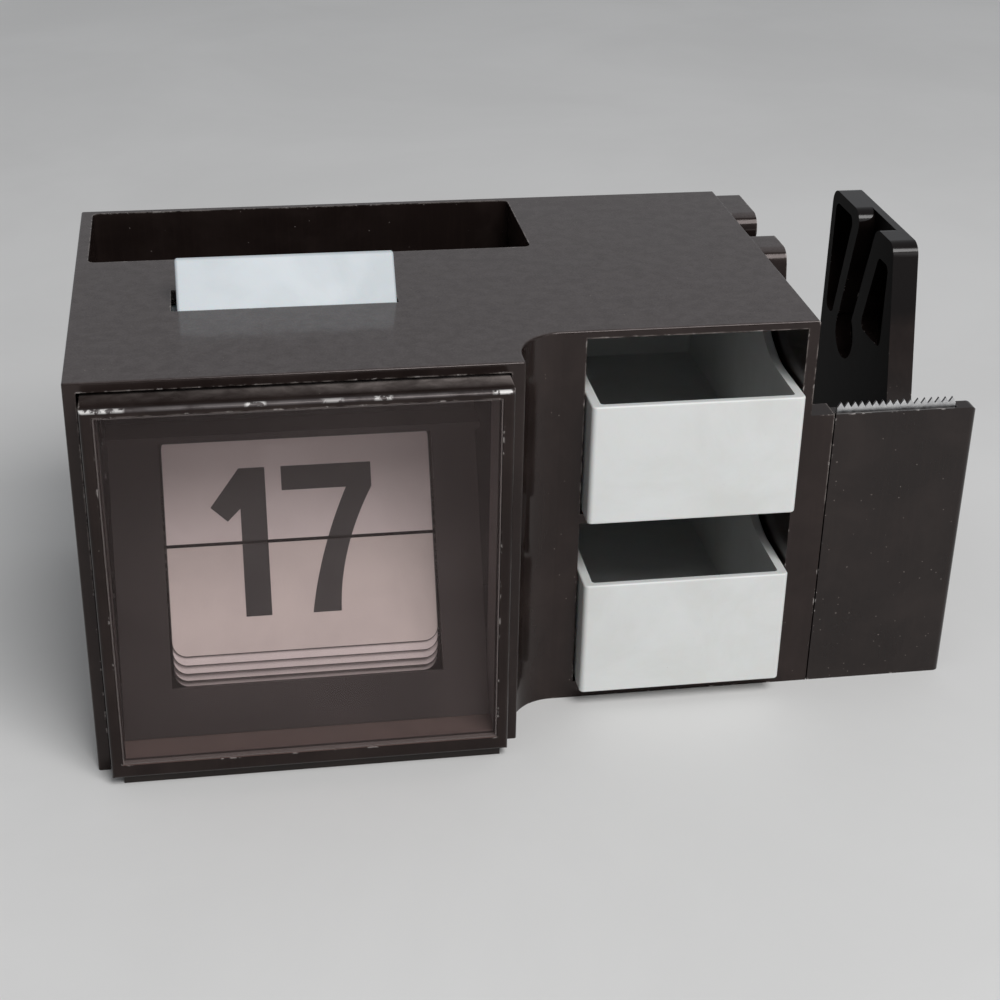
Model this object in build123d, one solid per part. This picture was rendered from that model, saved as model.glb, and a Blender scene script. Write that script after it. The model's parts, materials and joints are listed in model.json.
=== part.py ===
from build123d import *
import os
from math import cos, sin, tan, radians

# Desk tray with perpetual calendar. Rulers: x from the left face, y back from the calendar
# block's front face, z up from the table. The origin lies under the middle of the whole object.

# Body
body_width = 152.3
body_depth = 100.0
body_height = 88.0
calendar_width = 88.3
drawer_setback = 14.2
hollow_radius = 10.0
left_wall = 2.5
calendar_right_wall = 2.8
right_wall = 2.4
back_wall = 2.0
top_wall = 2.1
edge_round = 0.5
cut_overrun = 1.0
inner_gap = 0.25
ceiling = body_height - top_wall

# Leaf drum, in step with the body's height
leaf_count = 31
drum_depth_share = 0.342045
drum_height_share = 0.411932
pin_circle_share = 0.113636
leaf_height_share = 0.267045
drum_y = body_height * drum_depth_share
drum_z = body_height * drum_height_share
pin_circle = body_height * pin_circle_share
leaf_half_height = body_height * leaf_height_share
display_tilt = 25.0
leaf_left_inset = 16.4
leaf_right_inset = 15.4
leaf_left = leaf_left_inset
leaf_right = calendar_width - leaf_right_inset
leaf_thickness = 0.2
leaf_half_gap = 0.35
leaf_corner = 3.3
leaf_end_gap = 0.41
ear_reach = 3.0
ear_half_width = 0.35
pin_hole_radius = 0.6
disc_rim = 1.0
disc_radius = pin_circle + disc_rim
disc_thickness = 2.0
disc_gap = 1.4
core_radius = pin_circle / 2
axle_radius = 2.0
axle_play = 0.06
axle_head_radius = 3.2
axle_head_length = 1.2
clip_radius = 3.8
clip_thickness = 0.8
hub_radius = 4.0
hub_play = 0.2
ratchet_inset = 3.0
ratchet_radius = pin_circle - ratchet_inset
ratchet_tooth_depth = 0.65
ratchet_thickness = 1.8
ratchet_tooth_angle = 17.0
lower_leaf_count = 5
lower_leaf_fan = 0.3
waiting_rigid_count = 6
waiting_count = 12
last_spent_angle = 272.0
pin_step = 360 / leaf_count
half_chord = pin_circle * sin(radians(pin_step / 2))
leaf_tip = leaf_half_height - half_chord

# Pen well, behind the room that the leaves need
well_left = 2.7
well_side_wall = 2.8
well_front_wall = 2.0
well_back_wall = 2.0
well_floor_height = 4.4
well_corner = 1.5
well_wall_front = drum_y + pin_circle + leaf_tip + leaf_end_gap
well_front = well_wall_front + well_front_wall
well_back = body_depth - well_back_wall

# Calendar bezel and window
bezel_proud = 6.6
bezel_left = 3.1
bezel_right_inset = 3.0
bezel_right = calendar_width - bezel_right_inset
bezel_drop = 2.9
bezel_top = body_height - bezel_drop
bezel_depth = 15.0
bezel_back = bezel_depth - bezel_proud
bezel_round = 0.9
bezel_side_wall = 2.35
bezel_top_wall = 1.6
window_left = bezel_left + bezel_side_wall
window_right = bezel_right - bezel_side_wall
window_bottom = 5.3
window_top = bezel_top - bezel_top_wall
pane_thickness = 1.5
pane_recess = 0.2
pane_gap = 0.1
ledge_width = 0.6
ledge_depth = 0.8

# Drawers and their bays
bay_pillar = 5.0
bay_left = calendar_width + hollow_radius + bay_pillar
well_right = bay_left - well_side_wall
bay_right = body_width - right_wall
bay_back = body_depth - back_wall
bay_ceiling = 1.7
bay_top = body_height - bay_ceiling
base_sill_height = 4.1
shelf_thickness = 2.2
lower_bay_share = 0.4975
bay_stack = bay_top - base_sill_height - shelf_thickness
shelf_bottom = base_sill_height + bay_stack * lower_bay_share
upper_drawer_bottom = shelf_bottom + shelf_thickness
drawer_side_gap = 0.65
drawer_left = bay_left + drawer_side_gap
drawer_right = bay_right - drawer_side_gap
drawer_proud = 4.8
drawer_front = drawer_setback - drawer_proud
drawer_end_gap = 2.5
drawer_back = bay_back - drawer_end_gap
drawer_top_gap = 0.8
drawer_back_height = shelf_bottom - base_sill_height - drawer_top_gap
drawer_scoop_rise = 12.0
drawer_front_height = drawer_back_height - drawer_scoop_rise
drawer_flat = 14.1
drawer_scoop_run = 20.5
drawer_wall = 2.0
drawer_front_wall = 1.4
drawer_corner = 0.8
drawer_edge_round = 1.1
drawer_rim_round = 0.4

# Tape cradle: depths are counted from the back face
cradle_pad = 5.2
lobe_reach = 5.9
module_width = 32.0
seam_x = body_width + cradle_pad
overall_width = seam_x + module_width
overall_depth = bezel_proud + body_depth
strip_depth = 5.7
strip_back = drawer_setback + strip_depth
panel_drop = 21.5
panel_height = body_height - panel_drop
panel_thickness = 3.6
panel_back = drawer_setback + panel_thickness
panel_round = 1.6
seam_groove_width = 0.3
seam_groove_depth = 0.9
outer_wall = 1.9
bracket_thickness = 6.0
inner_lobe_drop = 0.3
inner_lobe_height = body_height - inner_lobe_drop
lobe_bottom = body_height / 2
low_wall_drop = 14.0
low_wall_height = lobe_bottom - low_wall_drop
bracket_knee_rise = 8.0
bracket_knee_height = lobe_bottom + bracket_knee_rise
bracket_top_depth = 42.8
bracket_knee_depth = 50.0
bracket_low_depth = 54.4
groove_front_depth = 31.5
groove_back_depth = 21.0
groove_seat_width = 8.6
seat_depth = 17.6
seat_rise = 12.0
seat_y = body_depth - seat_depth
seat_z = lobe_bottom + seat_rise
seat_radius = 6.3
lobe_round = 3.5
pocket_round = 2.0
pocket_drop = 2.8
pocket_rise = 13.5
pocket_top = body_height - pocket_drop
pocket_bottom = lobe_bottom + pocket_rise
rear_pocket_back_depth = 2.8
rear_pocket_top_depth = 15.6
rear_pocket_bottom_depth = 7.6
front_pocket_drop = 6.0
front_pocket_rise = 17.8
front_pocket_top_depth = 41.0
front_pocket_top_width = 6.4
front_pocket_bottom_depth = 41.4
front_pocket_bottom_width = 14.0

# Cutter blade
blade_left_inset = 0.8
blade_right_inset = 4.8
blade_left = seam_x + blade_left_inset
blade_right = overall_width - blade_right_inset
blade_setback = 1.1
blade_y = drawer_setback + blade_setback
blade_thickness = 0.6
blade_sunk = 8.5
blade_root_rise = 0.9
blade_tooth_height = 1.3
blade_bottom = panel_height - blade_sunk
blade_root = panel_height + blade_root_rise
blade_tip = blade_root + blade_tooth_height
blade_teeth = 17
blade_play = 0.05
blade_end_play = 0.2
blade_recess_depth = 1.6
blade_recess_front = 0.55

# Calendar mask
mask_side_inset = 0.3
mask_left = window_left + mask_side_inset
mask_right = window_right - mask_side_inset
mask_back_gap = 1.3
mask_thickness = 1.2
mask_front_gap = mask_back_gap + mask_thickness
mask_side_gap = 0.35
mask_below = 6.1
mask_above = 1.5
mask_apron = 14.6
mask_opening_down = leaf_half_height + mask_below
mask_opening_up = leaf_half_height + mask_above
mask_up = leaf_half_height + mask_apron
mask_floor_gap = 0.2
visor_reach = 10.0
visor_lap = 1.9
visor_drop = leaf_half_height - visor_lap
visor_edge = 1.4
visor_root_rise = 3.1
visor_root = leaf_half_height + visor_root_rise

# Push bar, its springs and the drive pawl
slot_left = 20.45
slot_right_inset = 21.05
slot_right = calendar_width - slot_right_inset
slot_behind_drum = 4.1
slot_depth = 12.2
slot_front = drum_y + slot_behind_drum
slot_back = slot_front + slot_depth
bar_left_play = 1.2
bar_right_play = 0.3
bar_front_play = 0.15
bar_back_play = 0.3
bar_left = slot_left + bar_left_play
bar_right = slot_right - bar_right_play
bar_front = slot_front + bar_front_play
bar_back = slot_back - bar_back_play
bar_rise = 8.6
bar_top = body_height + bar_rise
bar_slope_run = 6.75
bar_crest = bar_front + bar_slope_run
bar_crest_width = 1.3
bar_round = 0.6
flange_overlap = 1.2
flange_thickness = 1.8
flange_gap = 0.2
flange_top = ceiling - flange_gap
flange_bottom = flange_top - flange_thickness
yoke_thickness = 2.4
yoke_bottom = flange_bottom - yoke_thickness
yoke_inset = 1.8
yoke_reach = 2.2
yoke_front = slot_front + yoke_inset
yoke_back = slot_back + yoke_reach
yoke_end_gap = 0.4
tongue_play = 0.2
tongue_length = 12.9
tongue_bottom = ceiling - tongue_length
tongue_reach = 0.5
spring_radius = 1.9
spring_inset_back = 0.4
spring_wire = 0.3
spring_turns = 6
spring_y = slot_back - spring_inset_back
spring_inset = 2.8
pawl_thickness = 1.4
pawl_inset = 0.2
pawl_width = 1.2
pawl_rise = 4.8
pawl_hook_lap = 0.45
pawl_hook_top_lap = 0.05
pawl_hook_height = 1.0
pawl_straight = 2.5
pawl_pad = 1.6
pawl_pad_width = 5.0

# Chassis plates
chassis_thickness = 2.0
chassis_left = 10.0
chassis_right_inset = 8.9
chassis_right = calendar_width - chassis_right_inset
chassis_left_inner = chassis_left + chassis_thickness
chassis_front_gap = 0.5
chassis_front = bezel_back + chassis_front_gap
chassis_headroom = 9.9
chassis_top = ceiling - chassis_headroom
chassis_back_room = 13.5
chassis_back = well_wall_front - chassis_back_room
guide_inset = 3.8
guide_width = 5.0
guide_front = slot_front + guide_inset
guide_back = guide_front + guide_width
guide_headroom = 17.4
guide_floor = ceiling - guide_headroom
foot_reach = 5.5
foot_length = 8.0
foot_height = 9.0
foot_ahead_of_drum = 6.1
foot_front = drum_y - foot_ahead_of_drum
foot_end_inset = 0.5
foot_back = chassis_back - foot_end_inset - foot_length
spring_seat_reach = 5.5
spring_seat_half_depth = 2.9
spring_seat_headroom = 19.9
spring_seat_thickness = 2.0
spring_seat_top = ceiling - spring_seat_headroom
spring_seat_bottom = spring_seat_top - spring_seat_thickness

# Detent spring
detent_thickness = 0.4
detent_width = 1.4
detent_gap = 0.15
detent_foot = 6.0
detent_rise = 7.75
detent_top = drum_z + detent_rise

# Base plate and its screws
base_thickness = 2.0
base_lip_reach = 5.2
base_lip_left_inset = 2.3
base_lip_right_inset = 1.5
base_lip_left = bezel_left + base_lip_left_inset
base_lip_right = bezel_right - base_lip_right_inset
runner_width = 2.0
runner_inset = 7.0
runner_end_gap = 3.0
screw_radius = 1.3
screw_head_radius = 2.7
screw_head_height = 1.1
screw_end_height = 10.0
screw_head_depth = 1.2
screw_head_play = 0.2
screw_play = 0.15
pilot_play = 0.05
boss_radius = 3.5
boss_height = 14.0
boss_inset = 3.4
boss_pillar_inset = 4.7
boss_front_gap = 5.6
boss_back_gap = 6.0
boss_left = left_wall + boss_inset
boss_right = bay_left - boss_pillar_inset
boss_front_left = bezel_back + boss_front_gap
boss_front_right = drawer_setback + calendar_right_wall + boss_front_gap
boss_back = well_wall_front - boss_back_gap
frame_boss_side = 5.5
frame_boss_panel_gap = 3.2
frame_boss_wall_gap = 3.3
frame_boss_front_gap = 6.7
frame_boss_back_gap = 5.0
frame_boss_panel_x = seam_x + frame_boss_side
frame_boss_panel_y = panel_back + frame_boss_panel_gap
frame_boss_wall_x = overall_width - outer_wall - frame_boss_wall_gap
frame_boss_front = panel_back + frame_boss_front_gap
frame_boss_back = bay_back - frame_boss_back_gap

left = -overall_width / 2
front = bezel_proud - overall_depth / 2


def block(x_from, x_to, y_from, y_to, z_from, z_to):
    """Box between two corners on the object's rulers."""
    size = Box(x_to - x_from, y_to - y_from, z_to - z_from, align=(Align.MIN, Align.MIN, Align.MIN))
    return Pos(left + x_from, front + y_from, z_from) * size


def side_face(wires, x_from):
    """Flat face in a plane x = constant, drawn with y and z."""
    plane = Plane((left + x_from, front, 0), x_dir=(0, 1, 0), z_dir=(1, 0, 0))
    return plane * make_face(wires)


def side_plate(points, x_from, x_to):
    """Outline of y and z points pushed along x."""
    return extrude(side_face(Polyline(*points, close=True), x_from), amount=x_to - x_from)


def plan_plate(wires, z_from, z_to):
    """Outline of x and y pushed upward."""
    return extrude(Plane((left, front, z_from)) * make_face(wires), amount=z_to - z_from)


def post(x, y, z_from, z_to, radius):
    """Upright cylinder."""
    size = Cylinder(radius, z_to - z_from, align=(Align.CENTER, Align.CENTER, Align.MIN))
    return Pos(left + x, front + y, z_from) * size


def rod(x_from, x_to, y, z, radius):
    """Cylinder along x."""
    plane = Plane((left + x_from, front + y, z), x_dir=(0, 1, 0), z_dir=(1, 0, 0))
    return plane * Cylinder(radius, x_to - x_from, align=(Align.CENTER, Align.CENTER, Align.MIN))


def around_drum(radius, angle):
    """Point at an angle from the drum's front, turning upward."""
    return drum_y - radius * cos(radians(angle)), drum_z + radius * sin(radians(angle))


def on_display(up, out):
    """Point of the sloping display: height along the slope from the leaf gap, distance in front."""
    middle = pin_circle * cos(radians(pin_step / 2)) + out
    y = drum_y - middle * cos(radians(display_tilt)) + up * sin(radians(display_tilt))
    z = drum_z + middle * sin(radians(display_tilt)) + up * cos(radians(display_tilt))
    return y, z


os.makedirs("parts", exist_ok=True)

# Base plate: lies inside the housing walls, carries runners for the lower drawer and reaches
# under the tape cradle.
screw_spots = [
    (boss_left, boss_front_left),
    (boss_left, boss_back),
    (boss_right, boss_front_right),
    (boss_right, boss_back),
    (frame_boss_panel_x, frame_boss_panel_y),
    (frame_boss_wall_x, frame_boss_front),
    (frame_boss_wall_x, frame_boss_back),
]
foot_spots = []
for foot_x in (chassis_left - foot_reach / 2, chassis_right + chassis_thickness + foot_reach / 2):
    for foot_start in (foot_front, foot_back):
        foot_spots.append((foot_x, foot_start + foot_length / 2))

base_right = bay_right - inner_gap
base_back = bay_back - inner_gap
frame_floor_right = overall_width - outer_wall - inner_gap
front_wall_inner = drawer_setback + calendar_right_wall
calendar_inner_right = calendar_width - calendar_right_wall
bay_floor_front = front_wall_inner + inner_gap


def make_base_plate():
    """Plate of joined boxes with stepped screw holes."""
    plate = block(base_lip_left, base_lip_right, -base_lip_reach, inner_gap, 0, base_thickness)
    plate += block(left_wall + inner_gap, calendar_inner_right - inner_gap, 0, base_back, 0, base_thickness)
    plate += block(calendar_inner_right - inner_gap, base_right, bay_floor_front, base_back, 0, base_thickness)
    plate += block(base_right, seam_x, strip_back + inner_gap, base_back, 0, base_thickness)
    plate += block(seam_x, frame_floor_right, panel_back + inner_gap, base_back, 0, base_thickness)
    runner_back = bay_back - runner_end_gap
    for runner_x in (bay_left + runner_inset, bay_right - runner_inset - runner_width):
        plate += block(runner_x, runner_x + runner_width, bay_floor_front, runner_back, 0, base_sill_height)
    for x, y in screw_spots + foot_spots:
        plate -= post(x, y, -cut_overrun, screw_head_depth, screw_head_radius + screw_head_play)
        plate -= post(x, y, 0, base_thickness + cut_overrun, screw_radius + screw_play)
    return plate


base_plate = make_base_plate()
export_step(base_plate, "parts/base_plate.step")


# Base screws: flat heads sunk in the base plate from below.
def make_screw(x, y):
    """Flat head under a plain shank."""
    head = post(x, y, screw_head_depth - screw_head_height, screw_head_depth, screw_head_radius)
    return head + post(x, y, screw_head_depth, screw_end_height, screw_radius)


base_screws = Compound(children=[make_screw(x, y) for x, y in screw_spots + foot_spots])
export_step(base_screws, "parts/base_screws.step")


def add_boss(body, x, y):
    """Screw boss with its pilot hole, standing on the base plate."""
    body += post(x, y, base_thickness, boss_height, boss_radius)
    return body - post(x, y, 0, screw_end_height + pilot_play, screw_radius + pilot_play)


# Tape cradle outlines, shared by the housing's lobes and the outer bracket
def groove_cut(x_from, x_to):
    """Leaning groove that guides the tape hub's stub down to its round seat."""
    over_top = body_height + cut_overrun
    points = [
        (body_depth - groove_front_depth, over_top),
        (body_depth - groove_back_depth, over_top),
        (seat_y + seat_radius, seat_z),
        (seat_y + seat_radius - groove_seat_width, seat_z),
    ]
    return side_plate(points, x_from, x_to) + rod(x_from, x_to, seat_y, seat_z, seat_radius)


def pocket_cuts(x_from, x_to):
    """Two weight-saving pockets beside the groove, with rounded corners."""
    rear_back = body_depth - rear_pocket_back_depth
    rear_points = [
        (rear_back, pocket_top),
        (body_depth - rear_pocket_top_depth, pocket_top),
        (body_depth - rear_pocket_bottom_depth, pocket_bottom),
        (rear_back, pocket_bottom),
    ]
    front_top = body_depth - front_pocket_top_depth
    front_bottom = body_depth - front_pocket_bottom_depth
    front_high = body_height - front_pocket_drop
    front_low = lobe_bottom + front_pocket_rise
    front_points = [
        (front_top, front_high),
        (front_top + front_pocket_top_width, front_high),
        (front_bottom + front_pocket_bottom_width, front_low),
        (front_bottom, front_low),
    ]
    cuts = []
    for points in (rear_points, front_points):
        face = side_face(Polyline(*points, close=True), x_from)
        face = fillet(face.vertices(), pocket_round)
        cuts.append(extrude(face, amount=x_to - x_from))
    return cuts


def lobe_front(height):
    """Y of the bracket's leaning front edge at a height."""
    lean = (bracket_knee_depth - bracket_top_depth) / (body_height - bracket_knee_height)
    return body_depth - bracket_knee_depth + lean * (height - bracket_knee_height)


def lobe_pad(x_from, x_to, top):
    """Pad of the cradle above the lobe bottom, with its groove, round shoulders and no pockets."""
    points = [
        (body_depth, lobe_bottom),
        (body_depth, top),
        (lobe_front(top), top),
        (lobe_front(lobe_bottom), lobe_bottom),
    ]
    pad = side_plate(points, x_from, x_to) - groove_cut(x_from, x_to)
    shoulders = pad.edges().filter_by(Axis.X).group_by(Axis.Z)[-1]
    return fillet(shoulders, lobe_round)


# Housing: one moulding with calendar chamber, pen well, two drawer bays and the inner lobes
# of the tape cradle.
def make_housing():
    """Outer block, then its hollows, then bosses and cradle lobes."""
    hollow_end = (calendar_width + hollow_radius, drawer_setback)
    hollow_start = (calendar_width, drawer_setback - hollow_radius)
    outline = [
        Polyline((0, 0), (calendar_width, 0), hollow_start),
        RadiusArc(hollow_start, hollow_end, hollow_radius),
        Polyline(hollow_end, (body_width, drawer_setback), (body_width, body_depth), (0, body_depth), (0, 0)),
    ]
    body = plan_plate(outline, 0, body_height)
    rim = body.edges().filter_by(Axis.Z).sort_by(Axis.X)
    top_edges = body.faces().sort_by(Axis.Z)[-1].edges()
    outer_corners = [edge for edge in rim if abs(edge.center().Y - (front + drawer_setback)) > hollow_radius / 2]
    body = fillet(list(top_edges) + outer_corners, edge_round)
    inner_radius = hollow_radius + calendar_right_wall
    chamber_start = (calendar_inner_right, drawer_setback - hollow_radius)
    chamber_end = (calendar_width + hollow_radius, front_wall_inner)
    partition_left = bay_left - right_wall
    chamber = [
        Polyline((left_wall, -cut_overrun), (calendar_inner_right, -cut_overrun), chamber_start),
        RadiusArc(chamber_start, chamber_end, inner_radius),
        Polyline(
            chamber_end,
            (partition_left, front_wall_inner),
            (partition_left, well_wall_front),
            (left_wall, well_wall_front),
            (left_wall, -cut_overrun),
        ),
    ]
    body -= plan_plate(chamber, -cut_overrun, ceiling)
    bay_open = drawer_setback - cut_overrun
    body -= block(bay_left, bay_right, bay_open, bay_back, base_sill_height, shelf_bottom)
    body -= block(bay_left, bay_right, bay_floor_front - inner_gap, bay_back, base_thickness, base_sill_height)
    body -= block(bay_left, bay_right, bay_open, bay_back, upper_drawer_bottom, bay_top)
    well = block(well_left, well_right, well_front, well_back, well_floor_height, body_height + cut_overrun)
    well = fillet(well.edges().filter_by(Axis.Z), well_corner)
    body -= well
    body -= block(left_wall, bay_right, well_wall_front, bay_back, -cut_overrun, base_thickness)
    body -= block(partition_left, bay_right, front_wall_inner, bay_back, -cut_overrun, base_thickness)
    body -= block(bay_right, body_width + cut_overrun, strip_back, bay_back, -cut_overrun, base_thickness)
    body -= block(slot_left, slot_right, slot_front, slot_back, ceiling - cut_overrun, body_height + cut_overrun)
    strip = block(bay_right, seam_x, drawer_setback, strip_back, 0, panel_height)
    body += strip
    lobe_face = body_width + lobe_reach
    lobes = lobe_pad(body_width, lobe_face, inner_lobe_height)
    lobe_floor = lobe_face - bracket_thickness + outer_wall
    for cut in pocket_cuts(lobe_floor, lobe_face + cut_overrun):
        lobes -= cut
    body += lobes
    for x, y in screw_spots[:4]:
        body = add_boss(body, x, y)
    return body


housing = make_housing()
export_step(housing, "parts/housing.step")


# Calendar bezel: square sleeve that stands on the base plate and stands proud of the block.
def make_bezel():
    """Sleeve with a thin ledge behind the window pane."""
    sleeve = block(bezel_left, bezel_right, -bezel_proud, bezel_back, base_thickness, bezel_top)
    rim = sleeve.faces().sort_by(Axis.Y)[0].edges()
    sleeve = fillet(rim, bezel_round)
    pane_back = -bezel_proud + pane_recess + pane_thickness
    ledge_back = pane_back + ledge_depth
    sleeve -= block(window_left, window_right, -bezel_proud - cut_overrun, pane_back, window_bottom, window_top)
    sleeve -= block(
        window_left + ledge_width,
        window_right - ledge_width,
        -bezel_proud,
        ledge_back,
        window_bottom + ledge_width,
        window_top - ledge_width,
    )
    sleeve -= block(window_left, window_right, ledge_back, bezel_back + cut_overrun, window_bottom, window_top)
    return sleeve


calendar_bezel = make_bezel()
export_step(calendar_bezel, "parts/calendar_bezel.step")

# Window pane: flat smoky sheet against the bezel's ledge
pane_front = pane_recess - bezel_proud
window_pane = block(
    window_left + pane_gap,
    window_right - pane_gap,
    pane_front,
    pane_front + pane_thickness,
    window_bottom + pane_gap,
    window_top - pane_gap,
)
export_step(window_pane, "parts/window_pane.step")


# Calendar mask: sloping plate around the leaves, with a visor above them
def slope_point_at(height, out):
    """Point of a plane parallel to the display at a height above the table."""
    start_y, start_z = on_display(0, out)
    return start_y + (height - start_z) * tan(radians(display_tilt)), height


def slope_height_at(y, out):
    """Height at which a plane parallel to the display passes a given y."""
    start_y, start_z = on_display(0, out)
    return start_z + (y - start_y) / tan(radians(display_tilt))


def make_mask():
    """Sloping plate, its opening and the visor."""
    floor = window_bottom + mask_floor_gap
    points = [
        slope_point_at(floor, mask_front_gap),
        slope_point_at(floor, mask_back_gap),
        on_display(mask_up, mask_back_gap),
        on_display(mask_up, mask_front_gap),
    ]
    plate = side_plate(points, mask_left, mask_right)
    opening = [
        on_display(-mask_opening_down, mask_back_gap - cut_overrun),
        on_display(-mask_opening_down, mask_front_gap + cut_overrun),
        on_display(mask_opening_up, mask_front_gap + cut_overrun),
        on_display(mask_opening_up, mask_back_gap - cut_overrun),
    ]
    plate -= side_plate(opening, leaf_left - mask_side_gap, leaf_right + mask_side_gap)
    visor = [
        on_display(mask_opening_up, mask_back_gap),
        on_display(visor_drop, visor_reach),
        on_display(visor_drop + visor_edge, visor_reach),
        on_display(visor_root, mask_back_gap),
    ]
    return plate + side_plate(visor, mask_left, mask_right)


calendar_mask = make_mask()
export_step(calendar_mask, "parts/calendar_mask.step")


# Chassis plates: carry axle, mask, push bar guides and spring seats
def make_chassis(x_from, outward, inward):
    """Upright plate with two feet, a spring seat, an open guide slot and the axle hole."""
    x_to = x_from + chassis_thickness
    top_front = slope_point_at(chassis_top, mask_back_gap)
    low_front = (chassis_front, slope_height_at(chassis_front, mask_back_gap))
    points = [
        (chassis_front, base_thickness),
        low_front,
        top_front,
        (chassis_back, chassis_top),
        (chassis_back, base_thickness),
    ]
    plate = side_plate(points, x_from, x_to)
    plate -= block(x_from - cut_overrun, x_to + cut_overrun, guide_front, guide_back, guide_floor, body_height)
    foot_edges = sorted((x_from + chassis_thickness / 2, outward))
    seat_edges = sorted((x_from + chassis_thickness / 2, inward))
    for foot_start in (foot_front, foot_back):
        foot_end = foot_start + foot_length
        plate += block(foot_edges[0], foot_edges[1], foot_start, foot_end, base_thickness, foot_height)
    seat_front = spring_y - spring_seat_half_depth
    seat_back = spring_y + spring_seat_half_depth
    plate += block(seat_edges[0], seat_edges[1], seat_front, seat_back, spring_seat_bottom, spring_seat_top)
    plate -= rod(x_from - cut_overrun, x_to + cut_overrun, drum_y, drum_z, axle_radius + axle_play)
    return plate


left_plate = make_chassis(chassis_left, chassis_left - foot_reach, chassis_left_inner + spring_seat_reach)
right_foot_edge = chassis_right + chassis_thickness + foot_reach
right_plate = make_chassis(chassis_right, right_foot_edge, chassis_right - spring_seat_reach)
for x, y in foot_spots:
    hole = post(x, y, 0, screw_end_height + pilot_play, screw_radius + pilot_play)
    left_plate -= hole
    right_plate -= hole
export_step(left_plate, "parts/chassis_left.step")
export_step(right_plate, "parts/chassis_right.step")

# Drum axle and its clip: a headed pin through both chassis plates
axle_end = chassis_right + chassis_thickness + clip_thickness
drum_axle = rod(chassis_left - axle_head_length, chassis_left, drum_y, drum_z, axle_head_radius)
drum_axle += rod(chassis_left, axle_end, drum_y, drum_z, axle_radius)
export_step(drum_axle, "parts/drum_axle.step")

clip_start = chassis_right + chassis_thickness
axle_clip = rod(clip_start, clip_start + clip_thickness, drum_y, drum_z, clip_radius)
axle_clip -= rod(clip_start - cut_overrun, axle_end + cut_overrun, drum_y, drum_z, axle_radius + axle_play)
export_step(axle_clip, "parts/axle_clip.step")

# Drum core: tube between the discs
disc_left_inner = leaf_left - disc_gap
disc_right_inner = leaf_right + disc_gap
bore_radius = axle_radius + axle_play
drum_core = rod(disc_left_inner, disc_right_inner, drum_y, drum_z, core_radius)
drum_core -= rod(disc_left_inner - cut_overrun, disc_right_inner + cut_overrun, drum_y, drum_z, bore_radius)
export_step(drum_core, "parts/drum_core.step")


# Drum discs: a ring of round holes takes the leaf ears
def make_disc(x_from, x_to):
    """Disc with one ear hole for each leaf."""
    disc = rod(x_from, x_to, drum_y, drum_z, disc_radius)
    holes = [rod(x_from - cut_overrun, x_to + cut_overrun, drum_y, drum_z, bore_radius)]
    for number in range(leaf_count):
        y, z = around_drum(pin_circle, display_tilt + pin_step * (number + 1 / 2))
        holes.append(rod(x_from - cut_overrun, x_to + cut_overrun, y, z, pin_hole_radius))
    return disc - holes


disc_left_outer = disc_left_inner - disc_thickness
disc_right_outer = disc_right_inner + disc_thickness
left_hub = rod(chassis_left_inner + hub_play, disc_left_outer, drum_y, drum_z, hub_radius)
left_hub -= rod(chassis_left_inner, disc_left_outer + cut_overrun, drum_y, drum_z, bore_radius)
drum_disc_left = make_disc(disc_left_outer, disc_left_inner) + left_hub
export_step(drum_disc_left, "parts/drum_disc_left.step")
drum_disc_right = make_disc(disc_right_inner, disc_right_outer)
export_step(drum_disc_right, "parts/drum_disc_right.step")

# Ratchet wheel: fixed to the right disc, one tooth for each leaf
ratchet_points = []
for number in range(leaf_count):
    tooth_angle = ratchet_tooth_angle - pin_step * number
    ratchet_points.append(around_drum(ratchet_radius - ratchet_tooth_depth, tooth_angle))
    ratchet_points.append(around_drum(ratchet_radius, tooth_angle))
ratchet_end = disc_right_outer + ratchet_thickness
ratchet_wheel = side_plate(ratchet_points, disc_right_outer, ratchet_end)
ratchet_wheel += rod(ratchet_end, chassis_right - hub_play, drum_y, drum_z, hub_radius)
ratchet_wheel -= rod(disc_right_outer - cut_overrun, chassis_right, drum_y, drum_z, bore_radius)
export_step(ratchet_wheel, "parts/ratchet_wheel.step")


# Leaves: thin sheets with rounded tips and two flat ears
def make_leaf(pin_angle, leaf_angle):
    """Leaf that starts just behind its pin and points at an angle from the front, turning upward."""
    pin_y, pin_z = around_drum(pin_circle, pin_angle)
    root = leaf_half_gap - half_chord
    plane = Plane(
        (left, front + pin_y, pin_z),
        x_dir=(1, 0, 0),
        z_dir=(0, -sin(radians(leaf_angle)), -cos(radians(leaf_angle))),
    )
    corners = [(leaf_left, root), (leaf_right, root), (leaf_right, leaf_tip), (leaf_left, leaf_tip)]
    sheet = make_face(Polyline(*corners, close=True))
    sheet = fillet(sheet.vertices().sort_by(Axis.Y)[-2:], leaf_corner)
    ear = [
        (leaf_left - ear_reach, -ear_half_width),
        (leaf_right + ear_reach, -ear_half_width),
        (leaf_right + ear_reach, ear_half_width),
        (leaf_left - ear_reach, ear_half_width),
    ]
    sheet += make_face(Polyline(*ear, close=True))
    return extrude(plane * sheet, amount=leaf_thickness / 2, both=True)


flip_pin_angle = display_tilt + pin_step / 2
flip_leaf_angle = display_tilt + 90
export_step(make_leaf(flip_pin_angle, flip_leaf_angle), "parts/flip_leaf.step")

for number in range(lower_leaf_count):
    lower_pin_angle = flip_pin_angle - pin_step * (number + 1)
    lower_leaf_angle = flip_leaf_angle + 180 - lower_leaf_fan * number
    export_step(make_leaf(lower_pin_angle, lower_leaf_angle), f"parts/lower_leaf_{number + 1}.step")

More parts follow.
